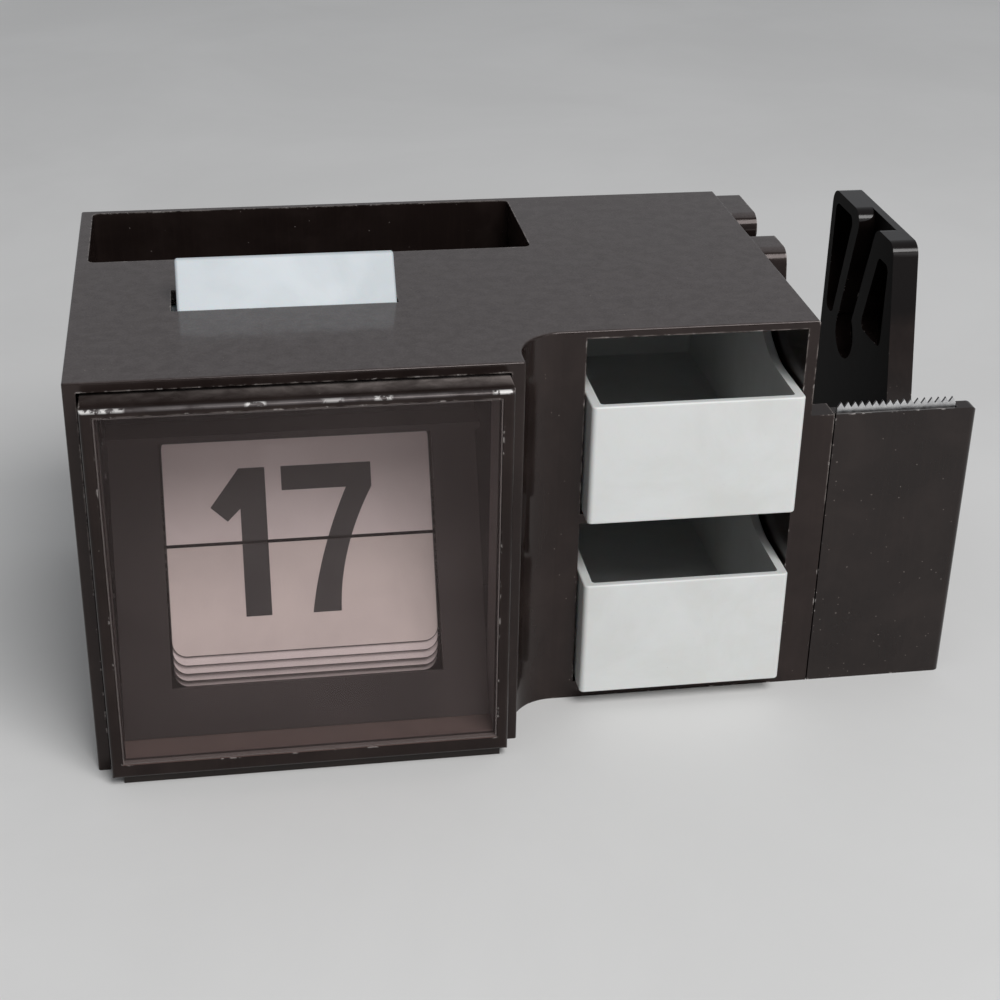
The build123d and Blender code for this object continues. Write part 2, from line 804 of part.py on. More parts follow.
rigid_end_angle = flip_leaf_angle + pin_step * waiting_rigid_count
hidden_count = leaf_count - 1 - lower_leaf_count
trailing_step = (last_spent_angle - rigid_end_angle) / (hidden_count - waiting_rigid_count)
hidden_leaves = []
for number in range(1, hidden_count + 1):
    hidden_angle = flip_leaf_angle + pin_step * number
    if number > waiting_rigid_count:
        hidden_angle = rigid_end_angle + trailing_step * (number - waiting_rigid_count)
    hidden_leaves.append(make_leaf(flip_pin_angle + pin_step * number, hidden_angle))
export_step(Compound(children=hidden_leaves[:waiting_count]), "parts/waiting_leaves.step")
export_step(Compound(children=hidden_leaves[waiting_count:]), "parts/spent_leaves.step")

# Push bar: wedge head through the slot, stop flange under the top, yoke and guide tongues
def make_push_bar():
    """Head, flange, yoke and tongues in one moulding."""
    head_points = [
        (bar_front, flange_bottom),
        (bar_front, body_height),
        (bar_crest, bar_top),
        (bar_crest + bar_crest_width, bar_top),
        (bar_back, body_height),
        (bar_back, flange_bottom),
    ]
    head = side_plate(head_points, bar_left, bar_right)
    soft_edges = [edge for edge in head.edges() if edge.center().Z > body_height]
    bar = fillet(soft_edges, bar_round)
    flange_front = slot_front - flange_overlap
    flange_back = slot_back + flange_overlap
    bar += block(bar_left, bar_right, flange_front, flange_back, flange_bottom, flange_top)
    yoke_left = chassis_left_inner + yoke_end_gap
    yoke_right = chassis_right - yoke_end_gap
    bar += block(yoke_left, yoke_right, yoke_front, yoke_back, yoke_bottom, flange_bottom)
    tongue_front = guide_front + tongue_play
    tongue_back = guide_back - tongue_play
    tongue_left = chassis_left - tongue_reach
    tongue_right = chassis_right + chassis_thickness + tongue_reach
    bar += block(tongue_left, yoke_left, tongue_front, tongue_back, tongue_bottom, flange_bottom)
    bar += block(yoke_right, tongue_right, tongue_front, tongue_back, tongue_bottom, flange_bottom)
    return bar


push_bar = make_push_bar()
export_step(push_bar, "parts/push_bar.step")

# Drive pawl: springy leg under the yoke whose hook pushes a ratchet tooth down
hook_z = drum_z + pawl_rise
leg_start_z = hook_z + pawl_straight
leg_top_z = yoke_bottom - pawl_pad
leg_shift = (leg_top_z - leg_start_z) * tan(radians(display_tilt))
leg_back = drum_y - ratchet_radius
leg_front = leg_back - pawl_width
pad_front = leg_front + leg_shift
pawl_points = [
    (leg_front, hook_z),
    (leg_back + pawl_hook_lap, hook_z),
    (leg_back + pawl_hook_top_lap, hook_z + pawl_hook_height),
    (leg_back, leg_start_z),
    (leg_back + leg_shift, leg_top_z),
    (pad_front + pawl_pad_width, leg_top_z),
    (pad_front + pawl_pad_width, yoke_bottom),
    (pad_front, yoke_bottom),
    (pad_front, leg_top_z),
    (leg_front, leg_start_z),
]
pawl_x = disc_right_outer + pawl_inset
drive_pawl = side_plate(pawl_points, pawl_x, pawl_x + pawl_thickness)
export_step(drive_pawl, "parts/drive_pawl.step")


# Key springs: two coils between the chassis seats and the yoke
def make_spring(x):
    """Coil of round wire with ends that just meet seat and yoke."""
    height = yoke_bottom - spring_seat_top - 2 * spring_wire
    path = Helix(pitch=height / spring_turns, height=height, radius=spring_radius)
    start = Plane(path @ 0, z_dir=path % 0)
    coil = sweep(start * Circle(spring_wire), path=path)
    return Pos(left + x, front + spring_y, spring_seat_top + spring_wire) * coil


spring_spots = (chassis_left_inner + spring_inset, chassis_right - spring_inset)
key_springs = Compound(children=[make_spring(x) for x in spring_spots])
export_step(key_springs, "parts/key_springs.step")

# Detent spring: bent steel strip beside the ratchet, on the right chassis plate's foot of the base
detent_back = drum_y + ratchet_radius + detent_gap + detent_thickness
detent_front = detent_back - detent_thickness
detent_points = [
    (detent_front, detent_top),
    (detent_front, base_thickness),
    (detent_back + detent_foot, base_thickness),
    (detent_back + detent_foot, base_thickness + detent_thickness),
    (detent_back, base_thickness + detent_thickness),
    (detent_back, detent_top),
]
detent_spring = side_plate(detent_points, pawl_x, pawl_x + detent_width)
export_step(detent_spring, "parts/detent_spring.step")


# Drawers: trays with a low front and scooped sides
def make_drawer(bottom):
    """Side outline pushed across, then hollowed with round inner corners."""
    flat_end = drawer_front + drawer_flat
    scoop_end = flat_end + drawer_scoop_run
    scoop_radius = (drawer_scoop_run**2 + drawer_scoop_rise**2) / (2 * drawer_scoop_rise)
    low = bottom + drawer_front_height
    high = bottom + drawer_back_height
    outline = [
        Polyline((scoop_end, high), (drawer_back, high), (drawer_back, bottom), (drawer_front, bottom)),
        Polyline((drawer_front, bottom), (drawer_front, low), (flat_end, low)),
        RadiusArc((flat_end, low), (scoop_end, high), -scoop_radius),
    ]
    tray = extrude(side_face(outline, drawer_left), amount=drawer_right - drawer_left)
    front_edges = tray.edges().filter_by(Axis.Z).group_by(Axis.Y)[0]
    tray = fillet(front_edges, drawer_edge_round)
    rim_edges = tray.faces().sort_by(Axis.Y)[0].edges().filter_by(Axis.X)
    tray = fillet(rim_edges, drawer_rim_round)
    inside = block(
        drawer_left + drawer_wall,
        drawer_right - drawer_wall,
        drawer_front + drawer_front_wall,
        drawer_back - drawer_wall,
        bottom + drawer_wall,
        high + cut_overrun,
    )
    inside = fillet(inside.edges().filter_by(Axis.Z), drawer_corner)
    return tray - inside


export_step(make_drawer(upper_drawer_bottom), "parts/upper_drawer.step")
export_step(make_drawer(base_sill_height), "parts/lower_drawer.step")


# Tape frame: front panel, low outer wall and the outer cradle bracket, standing on the base plate
def make_tape_frame():
    """Panel and wall in one moulding, with the blade's slot and a narrow groove along the seam."""
    frame = block(seam_x, overall_width, drawer_setback, panel_back, 0, panel_height)
    corner = frame.edges().filter_by(Axis.Z).group_by(Axis.Y)[0].sort_by(Axis.X)[-1]
    top_corner = frame.edges().filter_by(Axis.Y).group_by(Axis.Z)[-1].sort_by(Axis.X)[-1]
    frame = fillet([corner, top_corner], panel_round)
    wall_left = overall_width - outer_wall
    wall_points = [
        (panel_back - panel_thickness / 2, 0),
        (panel_back - panel_thickness / 2, low_wall_height),
        (body_depth - bracket_low_depth, low_wall_height),
        (lobe_front(lobe_bottom), lobe_bottom),
        (body_depth, lobe_bottom),
        (body_depth, 0),
    ]
    frame += side_plate(wall_points, wall_left, overall_width)
    bracket_left = overall_width - bracket_thickness
    pad_points = [
        (body_depth, lobe_bottom),
        (body_depth, body_height),
        (body_depth - bracket_top_depth, body_height),
        (lobe_front(lobe_bottom), lobe_bottom),
    ]
    skin = side_plate(pad_points, wall_left, overall_width)
    skin = fillet(skin.edges().filter_by(Axis.X).group_by(Axis.Z)[-1], lobe_round)
    pad = lobe_pad(bracket_left, wall_left, body_height)
    for cut in pocket_cuts(bracket_left - cut_overrun, wall_left):
        pad -= cut
    pad_front = lobe_front(lobe_bottom)
    frame += skin
    frame += pad
    frame += block(bracket_left, wall_left, pad_front, body_depth, base_thickness, lobe_bottom)
    slot_start = blade_left - blade_end_play
    slot_end = blade_right + blade_end_play
    slot_y = blade_y - blade_play
    slot_depth_end = blade_y + blade_thickness + blade_play
    over_top = panel_height + cut_overrun
    frame -= block(slot_start, slot_end, slot_y, slot_depth_end, blade_bottom, over_top)
    recess_front = blade_y - blade_recess_front
    recess_floor = panel_height - blade_recess_depth
    frame -= block(slot_start, slot_end, recess_front, slot_depth_end, recess_floor, over_top)
    seam_left = seam_x - cut_overrun
    seam_right = seam_x + seam_groove_width
    seam_front = drawer_setback - cut_overrun
    seam_back = drawer_setback + seam_groove_depth
    frame -= block(seam_left, seam_right, seam_front, seam_back, -cut_overrun, over_top)
    for x, y in screw_spots[4:]:
        frame = add_boss(frame, x, y)
    return frame


tape_frame = make_tape_frame()
export_step(tape_frame, "parts/tape_frame.step")

# Cutter blade: toothed steel strip pressed into the panel's slot
tooth_pitch = (blade_right - blade_left) / blade_teeth
blade_points = [(blade_right, blade_root), (blade_right, blade_bottom), (blade_left, blade_bottom)]
for number in range(blade_teeth):
    tooth_start = blade_left + tooth_pitch * number
    blade_points.append((tooth_start, blade_root))
    blade_points.append((tooth_start + tooth_pitch / 2, blade_tip))
blade_plane = Plane((left, front + blade_y, 0), x_dir=(1, 0, 0), z_dir=(0, -1, 0))
blade_face = blade_plane * make_face(Polyline(*blade_points, close=True))
cutter_blade = extrude(blade_face, amount=-blade_thickness)
export_step(cutter_blade, "parts/cutter_blade.step")
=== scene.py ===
import json

import bpy
import numpy as np
from mathutils import Matrix, Vector


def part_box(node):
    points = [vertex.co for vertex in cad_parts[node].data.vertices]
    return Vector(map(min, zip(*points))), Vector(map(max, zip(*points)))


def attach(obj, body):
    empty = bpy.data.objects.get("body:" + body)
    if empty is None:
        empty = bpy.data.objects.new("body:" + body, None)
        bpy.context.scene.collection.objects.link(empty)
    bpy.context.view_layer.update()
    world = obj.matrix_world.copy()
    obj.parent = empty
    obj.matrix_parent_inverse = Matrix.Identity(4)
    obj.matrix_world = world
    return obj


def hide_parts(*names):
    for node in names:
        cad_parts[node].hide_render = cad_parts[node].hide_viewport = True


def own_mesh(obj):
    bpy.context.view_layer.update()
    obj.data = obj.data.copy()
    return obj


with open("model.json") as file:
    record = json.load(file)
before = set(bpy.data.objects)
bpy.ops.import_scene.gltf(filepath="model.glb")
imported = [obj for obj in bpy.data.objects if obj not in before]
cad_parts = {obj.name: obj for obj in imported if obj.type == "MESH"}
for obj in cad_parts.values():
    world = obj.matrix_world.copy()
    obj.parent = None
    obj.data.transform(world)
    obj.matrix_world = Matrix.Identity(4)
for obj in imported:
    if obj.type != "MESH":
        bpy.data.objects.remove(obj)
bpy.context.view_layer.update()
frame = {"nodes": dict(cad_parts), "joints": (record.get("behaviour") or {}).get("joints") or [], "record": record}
nodes = frame["nodes"]


# Base plate: flat floor of the tray, moulded in dense brown plastic with a dull face.
# It lies inside the housing walls and its front lip shows under the calendar frame.
def add(tree, kind, sockets=None, **settings):
    """Places one shader node: settings are its options, sockets its values or the links into it."""
    placed = tree.nodes.new(kind)
    for option, value in settings.items():
        setattr(placed, option, value)
    for socket, value in (sockets or {}).items():
        if isinstance(value, bpy.types.NodeSocket):
            tree.links.new(value, placed.inputs[socket])
        else:
            placed.inputs[socket].default_value = value
    return placed


def calculate(tree, operation, first, second=0.0):
    """One step of arithmetic on values."""
    return add(tree, "ShaderNodeMath", {0: first, 1: second}, operation=operation).outputs[0]


def multiply(tree, first, second):
    """Product of two values."""
    return calculate(tree, "MULTIPLY", first, second)


def ramp(tree, value, start, end, low=0.0, high=1.0):
    """Straight ramp: low where the value is at start, high where it is at end, level beyond both."""
    return add(tree, "ShaderNodeMapRange", {0: value, 1: start, 2: end, 3: low, 4: high}).outputs[0]


def spread(tree, mask, low, high):
    """Takes a mask from its 0 to 1 onto low to high."""
    return ramp(tree, mask, 0.0, 1.0, low, high)


def object_place(tree):
    """Place of the shaded point in its piece's own frame, in metres."""
    return add(tree, "ShaderNodeTexCoord").outputs["Object"]


def blend_colours(tree, mask, under, over):
    """Colour that goes from under to over where the mask is full."""
    return add(tree, "ShaderNodeMix", {0: mask, 6: under, 7: over}, data_type="RGBA").outputs[2]


def new_group(name, **inputs):
    """Empty shader group with named values that gives a mask; gives the tree, its values and its mask."""
    tree = bpy.data.node_groups.new(name, "ShaderNodeTree")
    for socket, value in inputs.items():
        made = tree.interface.new_socket(
            name=socket.replace("_", " "), in_out="INPUT", socket_type="NodeSocketFloat"
        )
        made.default_value = value
    tree.interface.new_socket(name="Mask", in_out="OUTPUT", socket_type="NodeSocketFloat")
    return tree, add(tree, "NodeGroupInput").outputs, add(tree, "NodeGroupOutput").inputs["Mask"]


def use_group(tree, group, **values):
    """Places a shader group with its own values or links and gives its mask."""
    sockets = {name.replace("_", " "): value for name, value in values.items()}
    return add(tree, "ShaderNodeGroup", sockets, node_tree=group).outputs["Mask"]


def new_finish(name, **constants):
    """New material whose plain values sit on the shader's own sockets; gives material, tree and shader."""
    material = bpy.data.materials.new(name)
    material.use_nodes = True
    shader = material.node_tree.nodes["Principled BSDF"]
    for socket, value in constants.items():
        shader.inputs[socket.replace("_", " ")].default_value = value
    return material, material.node_tree, shader


def dress(material, *names):
    """Gives CAD nodes their finish."""
    for name in names:
        nodes[name].material_slots[0].material = material


def raise_grain(tree, shader, height, strength, distance):
    """Fine relief of the surface from a height mask."""
    bump = add(tree, "ShaderNodeBump", {"Strength": strength, "Distance": distance, "Height": height})
    tree.links.new(bump.outputs["Normal"], shader.inputs["Normal"])


def build_cloud():
    """Cloudy mask in object space: layered noise taken from low to high onto 0 to 1."""
    tree, value, mask = new_group("cloud", Scale=40.0, Low=0.4, High=0.6)
    layers = {"Detail": 6.0, "Roughness": 0.6, "Distortion": 0.4}
    sockets = {"Vector": object_place(tree), "Scale": value["Scale"], **layers}
    noise = add(tree, "ShaderNodeTexNoise", sockets).outputs["Fac"]
    sockets = {0: noise, 1: value["Low"], 2: value["High"]}
    masked = add(tree, "ShaderNodeMapRange", sockets, interpolation_type="SMOOTHSTEP")
    tree.links.new(masked.outputs[0], mask)
    return tree


def build_specks():
    """Scattered soft specks of uneven size: close to a cell pattern's points, in cells with a low value."""
    tree, value, mask = new_group("specks", Scale=500.0, Size=0.2, Share=0.3)
    wobble_scale = 2500.0
    wobble_reach = (0.0004, 0.0004, 0.0004)
    core_share = 0.4
    place = object_place(tree)
    wobble = add(tree, "ShaderNodeTexNoise", {"Vector": place, "Scale": wobble_scale}).outputs["Color"]
    sockets = {0: wobble, 1: wobble_reach, 2: place}
    ragged = add(tree, "ShaderNodeVectorMath", sockets, operation="MULTIPLY_ADD").outputs["Vector"]
    cells = add(tree, "ShaderNodeTexVoronoi", {"Vector": ragged, "Scale": value["Scale"]}).outputs
    kept_value, size_value = add(tree, "ShaderNodeSeparateColor", {0: cells["Color"]}).outputs[:2]
    reach = multiply(tree, value["Size"], size_value)
    near = ramp(tree, cells["Distance"], reach, multiply(tree, reach, core_share))
    kept = calculate(tree, "LESS_THAN", kept_value, value["Share"])
    tree.links.new(multiply(tree, near, kept), mask)
    return tree


cloud = build_cloud()
specks = build_specks()


def dull_moulding(name, deep, pale):
    """Plain moulded plastic with a dull face: cloudy tone, fine grain and a little dust."""
    dust_colour = (0.16, 0.135, 0.12, 1.0)
    dust_cover = 0.5
    material, tree, shader = new_finish(name, IOR=1.5, Specular_IOR_Level=0.3)
    tone = use_group(tree, cloud, Scale=60.0, Low=0.3, High=0.75)
    dust = use_group(tree, specks, Scale=520.0, Size=0.07, Share=0.2)
    colour = blend_colours(tree, tone, deep, pale)
    colour = blend_colours(tree, multiply(tree, dust, dust_cover), colour, dust_colour)
    tree.links.new(colour, shader.inputs["Base Color"])
    tree.links.new(spread(tree, tone, low=0.45, high=0.62), shader.inputs["Roughness"])
    grain = use_group(tree, cloud, Scale=700.0, Low=0.2, High=0.8)
    raise_grain(tree, shader, grain, strength=0.05, distance=0.00005)
    return material


dull_brown = dull_moulding(
    "dull_brown_moulding", deep=(0.013, 0.0095, 0.008, 1.0), pale=(0.024, 0.018, 0.0155, 1.0)
)
dress(dull_brown, "base_plate")


# Base screws: zinc plated steel with flat heads, driven up from below through the base plate
# into the bosses. The plating is patchy grey with fine turning marks.
def bright_steel(name, dark, light, smooth, rough, marks_scale):
    """Plated or drawn steel: patchy grey metal with fine marks that go from smooth to rough."""
    material, tree, shader = new_finish(name, Metallic=1.0)
    patches = use_group(tree, cloud, Scale=300.0, Low=0.3, High=0.7)
    marks = use_group(tree, cloud, Scale=marks_scale, Low=0.35, High=0.65)
    tree.links.new(blend_colours(tree, patches, dark, light), shader.inputs["Base Color"])
    tree.links.new(spread(tree, marks, smooth, rough), shader.inputs["Roughness"])
    raise_grain(tree, shader, marks, strength=0.2, distance=0.00004)
    return material


zinc_plate = bright_steel(
    "zinc_plate",
    dark=(0.42, 0.42, 0.41, 1.0),
    light=(0.6, 0.6, 0.6, 1.0),
    smooth=0.28,
    rough=0.42,
    marks_scale=2500.0,
)
dress(zinc_plate, "base_screws")


# Housing: one large moulding in dark brown glossy plastic. Years of handling have left
# cloudy smudges on its faces, a dull film on its top, pale worn edges and small specks.
# The film's pale colour is partly a painted reflection that lifts the top's tone.
housing_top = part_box("housing")[1].z
housing_wear_depth = 0.045


def combine(tree, operation, first, second):
    """One step of arithmetic on vectors, which gives a vector."""
    return add(tree, "ShaderNodeVectorMath", {0: first, 1: second}, operation=operation).outputs["Vector"]


def split(tree, vector):
    """The three parts of a vector, by the names X, Y and Z."""
    return add(tree, "ShaderNodeSeparateXYZ", {0: vector}).outputs


def facing(tree):
    """Parts of the surface normal."""
    return split(tree, add(tree, "ShaderNodeNewGeometry").outputs["Normal"])


def build_edge_wear():
    """Mask of worn edges: where a rounded normal leaves the face's own normal, broken up by noise."""
    tree, value, mask = new_group("edge_wear", Width=0.0006, Breaks=300.0, Low=0.4, High=0.6)
    flat_agreement = 0.97
    edge_agreement = 0.8
    rounded = add(tree, "ShaderNodeBevel", {"Radius": value["Width"]}, samples=6).outputs[0]
    own = add(tree, "ShaderNodeNewGeometry").outputs["True Normal"]
    sockets = {0: rounded, 1: own}
    agreement = add(tree, "ShaderNodeVectorMath", sockets, operation="DOT_PRODUCT").outputs["Value"]
    edge = ramp(tree, agreement, flat_agreement, edge_agreement)
    broken = use_group(tree, cloud, Scale=value["Breaks"], Low=value["Low"], High=value["High"])
    tree.links.new(multiply(tree, edge, broken), mask)
    return tree


def build_streaks():
    """Fine lines along z in object space: noise stretched along z, taken from low to high onto 0 to 1."""
    tree, value, mask = new_group("streaks", Across=900.0, Along=25.0, Low=0.5, High=0.7)
    sockets = {0: value["Across"], 1: value["Across"], 2: value["Along"]}
    stretch = add(tree, "ShaderNodeCombineXYZ", sockets).outputs[0]
    drawn = combine(tree, "MULTIPLY", object_place(tree), stretch)
    noise = add(tree, "ShaderNodeTexNoise", {"Vector": drawn, "Scale": 1.0, "Detail": 3.0}).outputs["Fac"]
    tree.links.new(ramp(tree, noise, value["Low"], value["High"]), mask)
    return tree


edge_wear = build_edge_wear()
streaks = build_streaks()


def gloss_moulding(name, wear_share, wear_bottom, dust_share, sheen_film_share):
    """Dark brown glossy plastic: smudges, drawn streaks, dust, knocks, and edges worn above a height.

    The sheen film lies only on level faces at the housing's top: a dull film whose pale colour
    is partly a painted reflection. Gives material, tree, shader and colour.
    """
    deep = (0.0125, 0.0083, 0.0074, 1.0)
    hazy = (0.0215, 0.0148, 0.0132, 1.0)
    streak_colour = (0.027, 0.0175, 0.0145, 1.0)
    streak_share = 0.2
    sheen_film_colour = (0.083, 0.072, 0.071, 1.0)
    sheen_film_depth = 0.001
    thin_sheen_film = 0.66
    worn = (0.33, 0.29, 0.27, 1.0)
    wear_fade = 0.003
    knocked = (0.5, 0.46, 0.44, 1.0)
    knock_share = 0.9
    dust_colour = (0.28, 0.24, 0.22, 1.0)
    dust_cover = 0.6
    warm_sheen = (1.0, 0.88, 0.86, 1.0)
    material, tree, shader = new_finish(name, IOR=1.5, Specular_IOR_Level=0.33, Specular_Tint=warm_sheen)
    height = split(tree, object_place(tree))["Z"]

    smudge = use_group(tree, cloud, Scale=55.0, Low=0.35, High=0.72)
    streak = use_group(tree, streaks, Across=1500.0, Along=70.0, Low=0.5, High=0.75)
    colour = blend_colours(tree, smudge, deep, hazy)
    colour = blend_colours(tree, multiply(tree, streak, streak_share), colour, streak_colour)

    # Sheen film on the level top: partly a dull film, partly a painted reflection.
    mottle = use_group(tree, cloud, Scale=330.0, Low=0.3, High=0.7)
    grain = use_group(tree, cloud, Scale=2600.0, Low=0.3, High=0.7)
    level = ramp(tree, facing(tree)["Z"], start=0.6, end=0.95)
    on_top = calculate(tree, "GREATER_THAN", height, housing_top - sheen_film_depth)
    patches = spread(tree, mottle, low=0.8, high=1.12)
    sheen_film = multiply(tree, patches, spread(tree, grain, thin_sheen_film * sheen_film_share, sheen_film_share))
    sheen_film = multiply(tree, multiply(tree, level, on_top), sheen_film)
    colour = blend_colours(tree, sheen_film, colour, sheen_film_colour)

    edge = use_group(tree, edge_wear, Width=0.0006, Breaks=420.0, Low=0.4, High=0.58)
    high_up = ramp(tree, height, wear_bottom, wear_bottom + wear_fade)
    wear = multiply(tree, multiply(tree, edge, high_up), wear_share)
    colour = blend_colours(tree, wear, colour, worn)
    knocks = use_group(tree, edge_wear, Width=0.0007, Breaks=480.0, Low=0.58, High=0.64)
    colour = blend_colours(tree, multiply(tree, knocks, knock_share), colour, knocked)
    dust = use_group(tree, specks, Scale=620.0, Size=0.11, Share=dust_share)
    colour = blend_colours(tree, multiply(tree, dust, dust_cover), colour, dust_colour)

    tree.links.new(colour, shader.inputs["Base Color"])
    tree.links.new(spread(tree, smudge, low=0.12, high=0.22), shader.inputs["Roughness"])
    wave = use_group(tree, cloud, Scale=38.0, Low=0.2, High=0.8)
    raise_grain(tree, shader, wave, strength=0.1, distance=0.0005)
    return material, tree, shader, colour


housing_gloss = gloss_moulding(
    "housing_gloss",
    wear_share=0.7,
    wear_bottom=housing_top - housing_wear_depth,
    dust_share=0.25,
    sheen_film_share=1.0,
)[0]
dress(housing_gloss, "housing")


# Chassis plates: two dark side plates screwed to the base plate, with a few dust specks. Their
# colour is painted paler than their black plastic, as painted light in the shade they lie in.
# They carry the axle, the mask and the guides of the push bar.
lifted_dark = dull_moulding(
    "lifted_dark_moulding", deep=(0.05, 0.0365, 0.035, 1.0), pale=(0.074, 0.054, 0.0515, 1.0)
)
dress(lifted_dark, "chassis_left", "chassis_right")


# Leaf drum: black core and discs on a plated steel axle, held by a clip, with an off-white
# ratchet wheel that has one tooth for each day.
def pale_moulding(name, clean, aged, grime_share):
    """Off-white satin plastic: faint yellowing, grime specks and light scuffs."""
    grime = (0.2, 0.17, 0.14, 1.0)
    spot_cover = 0.35
    scuff_cover = 0.06
    material, tree, shader = new_finish(name, IOR=1.5, Subsurface_Weight=0.08, Subsurface_Scale=0.002)
    age = use_group(tree, cloud, Scale=45.0, Low=0.35, High=0.7)
    spots = use_group(tree, specks, Scale=380.0, Size=0.05, Share=grime_share)
    scuffs = use_group(tree, cloud, Scale=700.0, Low=0.6, High=0.78)
    colour = blend_colours(tree, age, clean, aged)
    colour = blend_colours(tree, multiply(tree, spots, spot_cover), colour, grime)
    colour = blend_colours(tree, multiply(tree, scuffs, scuff_cover), colour, grime)
    tree.links.new(colour, shader.inputs["Base Color"])
    tree.links.new(spread(tree, age, low=0.34, high=0.46), shader.inputs["Roughness"])
    fine = use_group(tree, cloud, Scale=600.0, Low=0.2, High=0.8)
    raise_grain(tree, shader, fine, strength=0.06, distance=0.00004)
    return material


black_moulding = dull_moulding(
    "black_moulding", deep=(0.008, 0.008, 0.008, 1.0), pale=(0.017, 0.017, 0.017, 1.0)
)
ratchet_white = pale_moulding(
    "ratchet_white", clean=(0.68, 0.68, 0.66, 1.0), aged=(0.62, 0.61, 0.57, 1.0), grime_share=0.05
)
dress(zinc_plate, "drum_axle", "axle_clip")
dress(black_moulding, "drum_core", "drum_disc_left", "drum_disc_right")
dress(ratchet_white, "ratchet_wheel")


# Leaves: thin plastic sheets, each with half of a day's number printed on either side. They
# hang by two ears in the discs. A slight curl shades them unevenly, and a dark band along
# their cut rims and over their ears is painted shadow.
leaf_thickness = 0.0002
ear_reach = 0.003
leaf_low, leaf_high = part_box("flip_leaf")
leaf_middle = (leaf_low.x + leaf_high.x) / 2
leaf_half_width = (leaf_high.x - leaf_low.x) / 2 - ear_reach
fresh_sheet = {"clean": (0.93, 0.75, 0.73, 1.0), "aged": (0.84, 0.67, 0.65, 1.0)}
handled_sheet = {"clean": (0.83, 0.66, 0.62, 1.0), "aged": (0.74, 0.585, 0.555, 1.0)}
pivots = {joint["name"]: np.array(joint["pos_m"]) for joint in frame["joints"] if joint["type"] == "hinge"}


def build_leaf_rim():
    """Mask of the painted shadow along a leaf's cut rim and over its ears: distance to a rectangle
    with round corners that ends at Length from the pin.

    Across is measured from the leaf's middle and along from its pin. Both are taken past the corner's
    centre, never below zero, and the distance is the length of that pair less the corner's radius.
    """
    names = ["Middle", "Pin_Y", "Pin_Z", "Along_Y", "Along_Z", "Half_Width", "Length"]
    tree, value, mask = new_group("leaf_rim", **dict.fromkeys(names, 0.0))
    corner = 0.0032
    line = 0.00024
    sockets = {0: value["Middle"], 1: value["Pin Y"], 2: value["Pin Z"]}
    pin = add(tree, "ShaderNodeCombineXYZ", sockets).outputs[0]
    away = combine(tree, "SUBTRACT", object_place(tree), pin)
    axis = add(tree, "ShaderNodeCombineXYZ", {1: value["Along Y"], 2: value["Along Z"]}).outputs[0]
    sockets = {0: away, 1: axis}
    along = add(tree, "ShaderNodeVectorMath", sockets, operation="DOT_PRODUCT").outputs["Value"]
    across = calculate(tree, "ABSOLUTE", split(tree, away)["X"])
    from_pin = add(tree, "ShaderNodeCombineXYZ", {0: across, 1: along}).outputs[0]
    reach = add(tree, "ShaderNodeCombineXYZ", {0: value["Half Width"], 1: value["Length"]}).outputs[0]
    past = combine(tree, "SUBTRACT", from_pin, reach)
    past = combine(tree, "ADD", past, (corner, corner, 0.0))
    past = combine(tree, "MAXIMUM", past, (0.0, 0.0, 0.0))
    distance = add(tree, "ShaderNodeVectorMath", {0: past}, operation="LENGTH").outputs["Value"]
    tree.links.new(ramp(tree, distance, corner - line, corner - line / 2), mask)
    return tree


leaf_rim = build_leaf_rim()


def leaf_finish(name, node, pin, clean, aged):
    """Pinkish white sheet with a soft curl, faint clouds, a few dark specks, and painted shadow along its cut rim
    and over its ears.
    """
    rim_shadow_colour = (0.06, 0.044, 0.041, 1.0)
    spot_colour = (0.2, 0.16, 0.15, 1.0)
    spot_cover = 0.45
    points = np.empty(3 * len(nodes[node].data.vertices))
    nodes[node].data.vertices.foreach_get("co", points)
    away = points.reshape(-1, 3)[:, 1:] - pin[1:]
    far = np.linalg.norm(away, axis=1)
    end = away[far > far.max() - leaf_thickness].mean(axis=0)
    length = np.linalg.norm(end)
    along = end / length
    material, tree, shader = new_finish(name, IOR=1.5)
    tone = use_group(tree, cloud, Scale=70.0, Low=0.3, High=0.75)
    spots = use_group(tree, specks, Scale=520.0, Size=0.06, Share=0.1)
    rim = use_group(
        tree,
        leaf_rim,
        Middle=leaf_middle,
        Pin_Y=pin[1],
        Pin_Z=pin[2],
        Along_Y=along[0],
        Along_Z=along[1],
        Half_Width=leaf_half_width,
        Length=length,
    )
    colour = blend_colours(tree, tone, clean, aged)
    colour = blend_colours(tree, multiply(tree, spots, spot_cover), colour, spot_colour)
    # Painted shadow: a dark band along the cut rim and over the ears.
    colour = blend_colours(tree, rim, colour, rim_shadow_colour)
    tree.links.new(colour, shader.inputs["Base Color"])
    tree.links.new(spread(tree, tone, low=0.45, high=0.6), shader.inputs["Roughness"])
    curl = use_group(tree, cloud, Scale=28.0, Low=0.2, High=0.8)
    raise_grain(tree, shader, curl, strength=0.2, distance=0.0008)
    return material


hung_leaves = {leaf: f"{leaf}_hang" for leaf in nodes if leaf.startswith("lower_leaf_")}
hung_leaves["flip_leaf"] = "flip_leaf_fall"
for leaf, hinge in hung_leaves.items():
    shade = handled_sheet if leaf == "lower_leaf_1" else fresh_sheet
    dress(leaf_finish(f"{leaf}_sheet", leaf, pivots[hinge], **shade), leaf)
stacked_sheet = leaf_finish("stacked_sheet", "waiting_leaves", pivots["drum_turn"], **fresh_sheet)
dress(stacked_sheet, "waiting_leaves", "spent_leaves")


# Day numbers: dark grey ink on the leaves. Each number is cut by the gap between an upper
# and a lower leaf, so every leaf carries a half of one number on its front and of the next on its back.
ink_thickness = 0.00003
half_gap = 0.00035
number_top = 0.0157
stem_rows = 24
loop_rows = 64
patch_columns = 5
left_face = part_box("housing")[0].x

